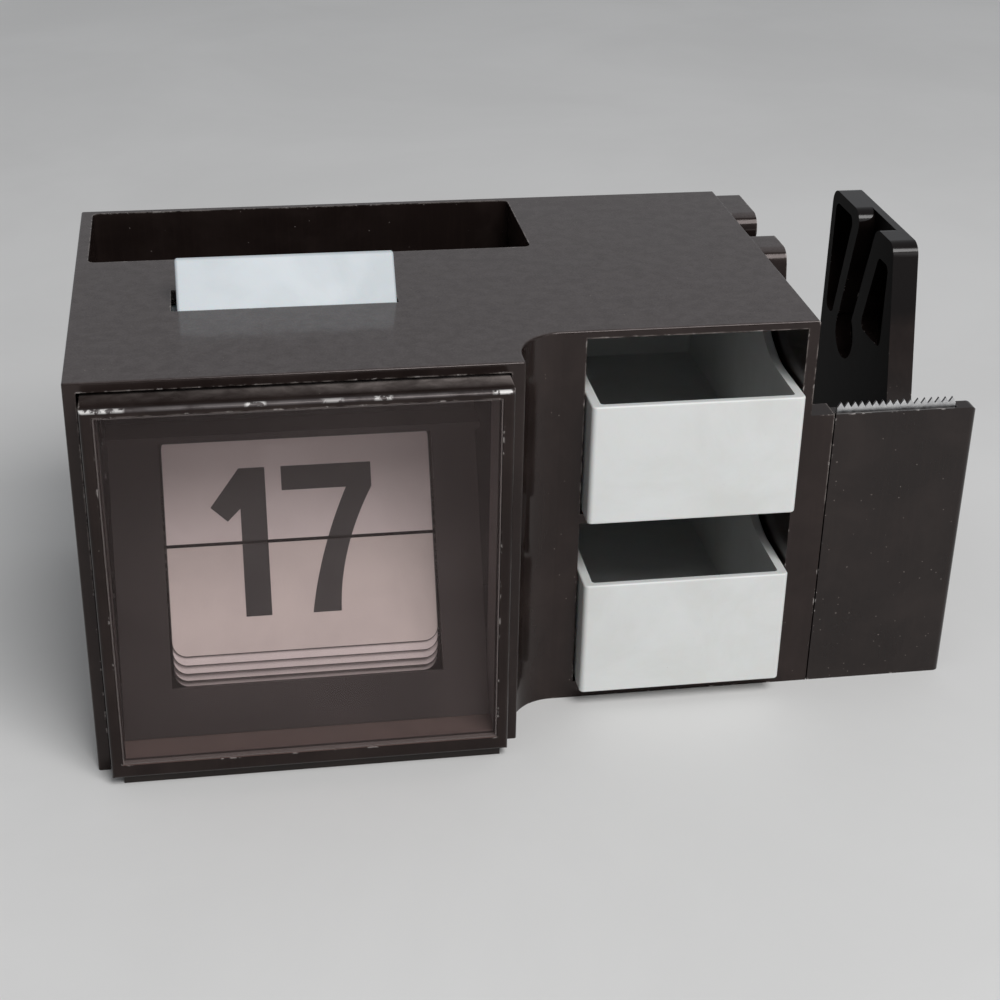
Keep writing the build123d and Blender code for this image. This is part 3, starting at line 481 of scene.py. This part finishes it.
stroke = next(joint["range_m"][1] for joint in frame["joints"] if joint["name"] == "push_bar_press")
couplings = frame["record"]["behaviour"]["couplings"]
turns = {coupling["joint"]: coupling["ratio"] * stroke for coupling in couplings}
pin_line = pivots["flip_leaf_fall"] - pivots["lower_leaf_1_hang"]
display_up = pin_line / np.linalg.norm(pin_line)
display_out = np.cross(display_up, (1.0, 0.0, 0.0))
display_out = display_out if display_out[1] < 0 else -display_out
gap_middle = (pivots["flip_leaf_fall"] + pivots["lower_leaf_1_hang"]) / 2


def ink_finish():
    """Dark grey ink, a little worn, so that the sheet shows through in small spots."""
    full, thin = (0.03, 0.0235, 0.0235, 1.0), (0.042, 0.034, 0.034, 1.0)
    sheet_colour = (0.4, 0.34, 0.33, 1.0)
    worn_cover = 0.5
    material, tree, shader = new_finish("number_ink", IOR=1.45)
    tone = use_group(tree, cloud, Scale=260.0, Low=0.3, High=0.75)
    worn = use_group(tree, specks, Scale=900.0, Size=0.07, Share=0.1)
    colour = blend_colours(tree, tone, full, thin)
    colour = blend_colours(tree, multiply(tree, worn, worn_cover), colour, sheet_colour)
    tree.links.new(colour, shader.inputs["Base Color"])
    tree.links.new(spread(tree, tone, low=0.4, high=0.55), shader.inputs["Roughness"])
    return material


def on_display(flat):
    """Takes points (across from the housing's left face, up from the leaf gap) onto the leaves' fronts."""
    across = flat[:, :1] + left_face
    lifted = flat[:, 1:] * display_up + (leaf_thickness / 2 + ink_thickness) * display_out + gap_middle
    return np.hstack([across, lifted[:, 1:]])


def turned(points, joint, angle):
    """Turns points about a hinge of the leaf drum, whose axis lies along x."""
    middle_y, middle_z = pivots[joint][1:]
    cosine, sine = np.cos(angle), np.sin(angle)
    y, z = points[:, 1] - middle_y, points[:, 2] - middle_z
    turned_y, turned_z = y * cosine - z * sine + middle_y, y * sine + z * cosine + middle_z
    return np.column_stack([points[:, 0], turned_y, turned_z])


def on_next_leaf(flat):
    """Upper half of the next day: one drum step behind the display."""
    return turned(on_display(flat), "drum_turn", -turns["drum_turn"])


def on_leaf_back(flat):
    """Lower half of the next day: on the back of the leaf that falls, before its fall and the drum's step."""
    return turned(on_next_leaf(flat), "flip_leaf_fall", -turns["flip_leaf_fall"])


def ruled_patch(one_edge, other_edge):
    """Grid of points on straight lines from one edge to the other: (1 - s) * one + s * other."""
    s = np.linspace(0.0, 1.0, patch_columns)[None, :, None]
    return (1 - s) * one_edge[:, None, :] + s * other_edge[:, None, :]


def slab(left, right, low, high):
    """Upright stroke between a left and a right edge."""
    return ruled_patch(np.array([(left, low), (left, high)]), np.array([(right, low), (right, high)]))


def bowed(level, lean, bow, low, high):
    """Edge whose place across is level + lean * up + bow * up squared, from low to high."""
    up = np.linspace(low, high, stem_rows)
    return np.column_stack([level + lean * up + bow * up**2, up])


def loop_patch(across, up, half_width, half_height, stroke_width):
    """Closed ring: an outer ellipse and an inner one a stroke's width inside, joined by straight lines."""
    angle = np.linspace(0.0, 2 * np.pi, loop_rows, endpoint=False)
    ring = np.column_stack([np.cos(angle), np.sin(angle)])
    outer = ring * (half_width, half_height)
    inner = ring * (half_width - stroke_width, half_height - stroke_width)
    return ruled_patch(inner + (across, up), outer + (across, up))


def print_on_leaf(name, patches, body, placed):
    """Joins the patches of half a number, rings among them, to one thin sheet of ink on a leaf's body."""
    points, faces, first = [], [], 0
    for patch in patches:
        rows, columns = patch.shape[:2]
        index = np.arange(rows * columns).reshape(rows, columns) + first
        # A ring is known by its count of rows, and its last row joins its first
        if rows == loop_rows:
            index = np.vstack([index, index[:1]])
        corners = (index[:-1, :-1], index[:-1, 1:], index[1:, 1:], index[1:, :-1])
        faces.append(np.stack(corners, axis=-1).reshape(-1, 4))
        points.append(patch.reshape(-1, 2))
        first += rows * columns
    mesh = bpy.data.meshes.new(name)
    mesh.from_pydata(placed(np.vstack(points)).tolist(), [], np.vstack(faces).tolist())
    mesh.materials.append(number_ink)
    ink = bpy.data.objects.new(name, mesh)
    bpy.context.scene.collection.objects.link(ink)
    sheet = ink.modifiers.new("sheet", "SOLIDIFY")
    sheet.thickness = ink_thickness
    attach(ink, body)


number_ink = ink_finish()
one_left, one_right = 0.0323, 0.03775
flag_tip, flag_heel, flag_root = (0.02607, 0.0077), (0.02952, 0.00459), 0.0072
flag_upper_edge = np.array([flag_tip, (one_left, number_top)])
flag_lower_edge = np.array([flag_heel, (one_left, flag_root)])
one_flag = ruled_patch(flag_upper_edge, flag_lower_edge)
upper_one = [slab(one_left, one_right, half_gap, number_top), one_flag]
lower_one = [slab(one_left, one_right, -number_top, -half_gap)]

bar_left, bar_right, bar_low = 0.04115, 0.06015, 0.0106
seven_left = {"level": 0.05035, "lean": 0.346, "bow": 6.14}
seven_right = {"level": 0.0553, "lean": 0.349, "bow": 10.7}
upper_span = {"low": half_gap, "high": bar_low}
lower_span = {"low": -number_top, "high": -half_gap}
seven_bar = slab(bar_left, bar_right, bar_low, number_top)
seven_stem = ruled_patch(bowed(**seven_left, **upper_span), bowed(**seven_right, **upper_span))
seven_foot = ruled_patch(bowed(**seven_left, **lower_span), bowed(**seven_right, **lower_span))

eight_across, eight_stroke = 0.0508, 0.0051
top_half_width, foot_half_width = 0.0088, 0.0096
loop_height = (number_top - half_gap) / 2
loop_up = half_gap + loop_height
eight_top = loop_patch(eight_across, loop_up, top_half_width, loop_height, eight_stroke)
eight_foot = loop_patch(eight_across, -loop_up, foot_half_width, loop_height, eight_stroke)

print_on_leaf("ink_17_upper", [*upper_one, seven_bar, seven_stem], "flip_leaf", on_display)
print_on_leaf("ink_17_lower", [*lower_one, seven_foot], "lower_leaf_1", on_display)
print_on_leaf("ink_18_upper", [*upper_one, eight_top], "drum", on_next_leaf)
print_on_leaf("ink_18_lower", [*lower_one, eight_foot], "flip_leaf", on_leaf_back)


# Calendar mask: sloping plate in dull brown plastic around the leaves, held between the
# chassis plates. Its right-hand side lies in shade and is painted paler, as painted light.
def mask_finish():
    """Dull moulding that goes over to a paler tone along its right-hand side, painted light in the shade there."""
    deep, pale = (0.024, 0.0162, 0.0155, 1.0), (0.036, 0.0248, 0.0238, 1.0)
    right_fill_colour = (0.068, 0.0485, 0.046, 1.0)
    right_fill_width = 0.014
    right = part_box("calendar_mask")[1].x
    material = dull_moulding("mask_brown", deep, pale)
    tree = material.node_tree
    base = tree.nodes["Principled BSDF"].inputs["Base Color"]
    # Painted light: the right-hand side lies in shade and is painted paler.
    graded = ramp(tree, split(tree, object_place(tree))["X"], right - right_fill_width, right)
    tree.links.new(blend_colours(tree, graded, base.links[0].from_socket, right_fill_colour), base)
    return material


dress(mask_finish(), "calendar_mask")


# Push bar: off-white wedge key that stands out of the top, with a steel pawl under it that
# turns the drum. A bent steel strip on the base stops the drum at each day.
key_white = pale_moulding(
    "key_white", clean=(0.61, 0.655, 0.685, 1.0), aged=(0.56, 0.605, 0.63, 1.0), grime_share=0.04
)
spring_steel = bright_steel(
    "spring_steel",
    dark=(0.3, 0.3, 0.31, 1.0),
    light=(0.48, 0.48, 0.49, 1.0),
    smooth=0.22,
    rough=0.34,
    marks_scale=3200.0,
)
dress(key_white, "push_bar")
dress(spring_steel, "drive_pawl", "key_springs", "detent_spring")


# Key springs: two coils of bright drawn wire between the chassis seats and the push bar's yoke.
# They stand on their seats and ride on the body.
spring_turns = 6
turn_steps = 28
wire_sides = 10
wire_radius = 0.0003
spring_low, spring_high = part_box("key_springs")
outer_radius = (spring_high.y - spring_low.y) / 2
spring_y = (spring_low.y + spring_high.y) / 2
coil_radius = outer_radius - wire_radius
coil_rise = spring_high.z - spring_low.z - 2 * wire_radius
coil_rings = spring_turns * turn_steps + 1


def coil_points(foot):
    """Wire carried along a helix about z: a ring of points across the wire at each step.

    The helix is radius * outward + climb * up, and a ring is wire radius * (cos * outward + sin * binormal).
    """
    angle = np.linspace(0.0, 2 * np.pi * spring_turns, coil_rings)
    outward = np.column_stack([np.cos(angle), np.sin(angle), np.zeros(coil_rings)])
    climb = coil_rise * angle / angle[-1]
    path = coil_radius * outward + np.outer(climb, (0.0, 0.0, 1.0)) + foot
    along = np.gradient(path, angle, axis=0)
    along /= np.linalg.norm(along, axis=1)[:, None]
    binormal = np.cross(along, outward)
    around = np.linspace(0.0, 2 * np.pi, wire_sides, endpoint=False)[None, :, None]
    ring = np.cos(around) * outward[:, None, :] + np.sin(around) * binormal[:, None, :]
    return (path[:, None, :] + wire_radius * ring).reshape(-1, 3)


def coil_faces(first):
    """Quads between neighbouring rings, each ring closed on itself, and one cap at either end of the wire."""
    index = np.arange(coil_rings * wire_sides).reshape(coil_rings, wire_sides) + first
    closed = np.hstack([index, index[:, :1]])
    quads = np.stack((closed[:-1, :-1], closed[:-1, 1:], closed[1:, 1:], closed[1:, :-1]), axis=-1)
    return quads.reshape(-1, 4).tolist() + [index[0, ::-1].tolist(), index[-1].tolist()]


coils = []
for spring_x in (spring_low.x + outer_radius, spring_high.x - outer_radius):
    coils.append(coil_points(np.array((spring_x, spring_y, spring_low.z + wire_radius))))
spring_mesh = bpy.data.meshes.new("key_coils")
spring_mesh.from_pydata(np.vstack(coils).tolist(), [], coil_faces(0) + coil_faces(len(coils[0])))
spring_mesh.polygons.foreach_set("use_smooth", np.ones(len(spring_mesh.polygons), dtype=bool))
spring_mesh.materials.append(spring_steel)
key_coils = bpy.data.objects.new("key_coils", spring_mesh)
bpy.context.scene.collection.objects.link(key_coils)
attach(key_coils, "body")
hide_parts("key_springs")
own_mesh(key_coils)


# Calendar bezel: square sleeve in the same glossy brown plastic that stands out of the
# calendar block. Its top is dusty, its inner walls that face left carry painted light, and its
# top front edge carries a painted grey highlight with pale knocked chips.
bezel_low, bezel_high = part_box("calendar_bezel")
pane_low, pane_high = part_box("window_pane")
pane_half_sizes = {"X": (pane_high.x - pane_low.x) / 2, "Z": (pane_high.z - pane_low.z) / 2}


def from_pane_middle(tree):
    """Parts of the way from the pane's middle to the shaded point."""
    return split(tree, combine(tree, "SUBTRACT", object_place(tree), (pane_low + pane_high) / 2))


def dull_inside(tree, shader, colour):
    """Dull walls behind the pane, with painted light on the walls that face left, which lie in shade."""
    inner_colour = (0.056, 0.041, 0.039, 1.0)
    painted_fill_colour = (0.13, 0.1, 0.096, 1.0)
    wall_reach = 0.0003
    inner_roughness = 0.7
    # Painted light: walls that face left lie in shade and are painted paler.
    painted_fill = ramp(tree, facing(tree)["X"], start=-0.5, end=-0.9)
    wall_colour = blend_colours(tree, painted_fill, inner_colour, painted_fill_colour)
    offsets = from_pane_middle(tree)
    inner = calculate(tree, "GREATER_THAN", offsets["Y"], 0.0)
    for axis, half_size in pane_half_sizes.items():
        size = calculate(tree, "ABSOLUTE", offsets[axis])
        inner = multiply(tree, inner, calculate(tree, "LESS_THAN", size, half_size + wall_reach))
    gloss = shader.inputs["Roughness"].links[0].from_socket
    rougher = calculate(tree, "MAXIMUM", gloss, multiply(tree, inner, inner_roughness))
    tree.links.new(rougher, shader.inputs["Roughness"])
    return blend_colours(tree, inner, colour, wall_colour)


def dusty_ledges(tree, colour):
    """Grey dust on the top, thicker towards the block and the right, and brown dust on the floor inside."""
    top_colour = (0.3, 0.26, 0.245, 1.0)
    floor_colour = (0.15, 0.1, 0.09, 1.0)
    top_reach = 0.0045
    block_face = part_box("housing")[0].y
    mid_height = bezel_high.z / 2
    across, back, up = split(tree, object_place(tree))
    level = ramp(tree, facing(tree)["Z"], start=0.7, end=0.95)
    fluff = use_group(tree, cloud, Scale=260.0, Low=0.3, High=0.75)
    near_block = ramp(tree, back, block_face - top_reach, block_face)
    on_top = calculate(tree, "GREATER_THAN", up, mid_height)
    thicker = ramp(tree, across, bezel_low.x, bezel_high.x, low=0.15, high=1.0)
    graded = multiply(tree, thicker, spread(tree, fluff, low=0.35, high=1.0))
    top_dust = multiply(tree, multiply(tree, near_block, on_top), multiply(tree, level, graded))
    colour = blend_colours(tree, top_dust, colour, top_colour)
    on_floor = calculate(tree, "LESS_THAN", up, mid_height)
    floor_dust = multiply(tree, multiply(tree, on_floor, level), spread(tree, fluff, low=0.75, high=1.0))
    return blend_colours(tree, floor_dust, colour, floor_colour)


def chipped_edge(tree, colour):
    """Top front edge with a painted grey highlight, broken up by clouds, and ragged chips: place from the left,
    half width and share of each.
    """
    edge_highlight_colour = (0.12, 0.108, 0.108, 1.0)
    chip_colour = (0.86, 0.84, 0.82, 1.0)
    reach = 0.0008
    full_width = 0.7
    chips = (
        (0.0024, 0.0032, 0.75),
        (0.0064, 0.0022, 0.6),
        (0.0326, 0.0022, 0.7),
        (0.047, 0.0024, 0.35),
        (0.0567, 0.002, 0.6),
        (0.0805, 0.003, 0.85),
    )
    across, back, up = split(tree, object_place(tree))
    near_top = ramp(tree, up, bezel_high.z - reach, bezel_high.z - reach / 2)
    near_front = ramp(tree, back, bezel_low.y + reach, bezel_low.y + reach / 2)
    edge = multiply(tree, near_top, near_front)
    # Painted highlight: a grey band along the rounded top front edge, broken up by clouds.
    highlight_breakup = use_group(tree, cloud, Scale=160.0, Low=0.3, High=0.6)
    painted_highlight = multiply(tree, edge, spread(tree, highlight_breakup, low=0.25, high=0.9))
    colour = blend_colours(tree, painted_highlight, colour, edge_highlight_colour)
    ragged = use_group(tree, cloud, Scale=750.0, Low=0.42, High=0.52)
    for middle, half_width, share in chips:
        offset = calculate(tree, "SUBTRACT", across, bezel_low.x + middle)
        size = calculate(tree, "ABSOLUTE", offset)
        window = ramp(tree, size, half_width, half_width * full_width)
        chip = multiply(tree, multiply(tree, edge, window), multiply(tree, ragged, share))
        colour = blend_colours(tree, chip, colour, chip_colour)
    return colour


def bezel_finish():
    """Glossy moulding, dull inside with painted light on shaded walls, dust on level faces, and a painted
    highlight with chips on the top front edge.
    """
    wear_depth = 0.004
    material, tree, shader, colour = gloss_moulding(
        "bezel_gloss", wear_share=0.5, wear_bottom=bezel_high.z - wear_depth, dust_share=0.3, sheen_film_share=0.0
    )
    shader.inputs["Specular IOR Level"].default_value = 0.2
    colour = dull_inside(tree, shader, colour)
    colour = dusty_ledges(tree, colour)
    colour = chipped_edge(tree, colour)
    tree.links.new(colour, shader.inputs["Base Color"])
    return material


dress(bezel_finish(), "calendar_bezel")


# Window pane: smoky clear plastic sheet against the bezel's ledge. It is hazy and dusty, and
# a pale line along its cut edges is a painted highlight.
def pane_finish():
    """Smoky sheet: mostly clear, denser where haze and dust lie and where a painted highlight runs along its cut
    edges.
    """
    thin_haze, thick_haze = (0.118, 0.088, 0.084, 1.0), (0.155, 0.119, 0.114, 1.0)
    dust_and_highlight_colour = (0.24, 0.2, 0.19, 1.0)
    dust_and_highlight_density = 0.45
    edge_highlight_width = 0.0004
    material, tree, shader = new_finish("smoky_pane", IOR=1.49)
    haze = use_group(tree, cloud, Scale=30.0, Low=0.3, High=0.8)
    marks = use_group(tree, specks, Scale=900.0, Size=0.11, Share=0.45)
    offsets = from_pane_middle(tree)
    # Painted highlight: a pale line along the pane's cut edges joins the dust marks.
    for axis, half_size in pane_half_sizes.items():
        size = calculate(tree, "ABSOLUTE", offsets[axis])
        edge_highlight = ramp(tree, size, half_size - edge_highlight_width, half_size - edge_highlight_width / 2)
        marks = calculate(tree, "MAXIMUM", marks, edge_highlight)
    colour = blend_colours(tree, haze, thin_haze, thick_haze)
    colour = blend_colours(tree, marks, colour, dust_and_highlight_colour)
    haze_density = spread(tree, haze, low=0.11, high=0.15)
    density = calculate(tree, "MAXIMUM", haze_density, multiply(tree, marks, dust_and_highlight_density))
    tree.links.new(colour, shader.inputs["Base Color"])
    tree.links.new(density, shader.inputs["Alpha"])
    tree.links.new(spread(tree, haze, low=0.06, high=0.14), shader.inputs["Roughness"])
    return material


dress(pane_finish(), "window_pane")


# Drawers: two off-white trays with scooped sides that slide forward out of their bays. They
# are moulded in satin plastic and slightly aged.
drawer_white = pale_moulding(
    "drawer_white", clean=(0.75, 0.76, 0.75, 1.0), aged=(0.69, 0.695, 0.675, 1.0), grime_share=0.07
)
dress(drawer_white, "upper_drawer", "lower_drawer")


# Tape frame: right-hand panel with the outer half of the tape cradle, in glossy brown plastic
# with more dust than the housing. Its bracket is painted darker as shade, and its inner side is
# rough and painted nearly black as shade.
def frame_finish():
    """Moulding whose gloss is a clear skin that its rough inner faces lack; painted shade makes those
    faces nearly black and the bracket above the blade darker.
    """
    painted_shade_colour = (0.0026, 0.0019, 0.0017, 1.0)
    textured_roughness = 0.6
    bracket_shade_colour = (0.0055, 0.0038, 0.0035, 1.0)
    bracket_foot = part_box("cutter_blade")[1].z
    bracket_fade = 0.004
    wear_depth = 0.012
    skin_weight = 0.8
    material, tree, shader, colour = gloss_moulding(
        "frame_gloss", wear_share=0.25, wear_bottom=housing_top - wear_depth, dust_share=0.6, sheen_film_share=0.0
    )
    height = split(tree, object_place(tree))["Z"]
    # Painted shade: the bracket above the blade is darker.
    bracket_shade = ramp(tree, height, bracket_foot, bracket_foot + bracket_fade)
    colour = blend_colours(tree, bracket_shade, colour, bracket_shade_colour)
    # Painted shade: faces that face left are nearly black; they are also rough.
    textured_and_shaded = ramp(tree, facing(tree)["X"], start=-0.75, end=-0.95)
    colour = blend_colours(tree, textured_and_shaded, colour, painted_shade_colour)
    gloss = shader.inputs["Roughness"].links[0].from_socket
    rougher = calculate(tree, "MAXIMUM", gloss, multiply(tree, textured_and_shaded, textured_roughness))
    tree.links.new(colour, shader.inputs["Base Color"])
    tree.links.new(rougher, shader.inputs["Roughness"])
    tree.links.new(spread(tree, textured_and_shaded, low=skin_weight, high=0.0), shader.inputs["Coat Weight"])
    for socket, value in (("Specular IOR Level", 0.05), ("Coat IOR", 1.4), ("Coat Roughness", 0.1)):
        shader.inputs[socket].default_value = value
    return material


dress(frame_finish(), "tape_frame")


# Cutter blade: toothed strip of bright steel, pressed into the slot of the panel's top edge.
# Its stamped face is brushed and a little rougher than the drawn wire.
blade_steel = bright_steel(
    "blade_steel",
    dark=(0.55, 0.55, 0.56, 1.0),
    light=(0.74, 0.74, 0.74, 1.0),
    smooth=0.34,
    rough=0.48,
    marks_scale=1200.0,
)
dress(blade_steel, "cutter_blade")


# Stage: pale floor and a soft even sky, with a broad lamp above and a weaker one at the front right.
# Both lamps face the middle of the object.
floor_half_side = 4.0
floor_pale, floor_shade = (0.78, 0.775, 0.765, 1.0), (0.73, 0.725, 0.715, 1.0)
object_middle = Vector((0.0, 0.0, 0.04))
sky_colour = (0.82, 0.84, 0.87, 1.0)
sky_strength = 0.36


def pale_floor():
    """Flat square of pale floor with a faint cloudy tone."""
    corners = np.array([(-1, -1), (1, -1), (1, 1), (-1, 1)]) * floor_half_side
    mesh = bpy.data.meshes.new("pale_floor")
    mesh.from_pydata(np.column_stack([corners, np.zeros(len(corners))]).tolist(), [], [(0, 1, 2, 3)])
    material, tree, shader = new_finish("pale_floor", Roughness=0.6)
    tone = use_group(tree, cloud, Scale=6.0, Low=0.3, High=0.7)
    tree.links.new(blend_colours(tree, tone, floor_pale, floor_shade), shader.inputs["Base Color"])
    mesh.materials.append(material)
    floor = bpy.data.objects.new("pale_floor", mesh)
    bpy.context.scene.collection.objects.link(floor)


def soft_lamp(name, place, width, power):
    """Square lamp that faces the object."""
    light = bpy.data.lights.new(name, "AREA")
    light.size = width
    light.energy = power
    lamp = bpy.data.objects.new(name, light)
    lamp.location = place
    lamp.rotation_euler = (object_middle - Vector(place)).to_track_quat("-Z", "Y").to_euler()
    bpy.context.scene.collection.objects.link(lamp)


pale_floor()
soft_lamp("lamp_above", place=(0.3, -0.8, 1.15), width=0.7, power=12.5)
soft_lamp("lamp_front", place=(0.9, -1.0, 0.5), width=0.8, power=2.0)
world = bpy.data.worlds.new("soft_sky")
world.use_nodes = True
world.node_tree.nodes["Background"].inputs["Color"].default_value = sky_colour
world.node_tree.nodes["Background"].inputs["Strength"].default_value = sky_strength
bpy.context.scene.world = world


# Camera: at the photograph's viewing angle, with the photograph's slight roll. Its place and its
# directions ahead and to the right are in the frame of the object.
view_place = Vector((-0.066594, -0.371398, 0.229333))
view_ahead = Vector((0.14950612, 0.87469747, -0.4610339))
view_right = Vector((0.98712187, -0.15887547, 0.01868146))
lens_data = bpy.data.cameras.new("photo_view")
lens_data.lens = 66.556
lens_data.sensor_width = 36.0
lens_data.clip_start = 0.01
camera = bpy.data.objects.new("photo_view", lens_data)
axes = Matrix((view_right, view_right.cross(view_ahead), -view_ahead)).transposed()
camera.matrix_world = Matrix.Translation(view_place) @ axes.to_4x4()
bpy.context.scene.collection.objects.link(camera)
bpy.context.scene.camera = camera
bpy.context.scene.view_settings.view_transform = "Standard"
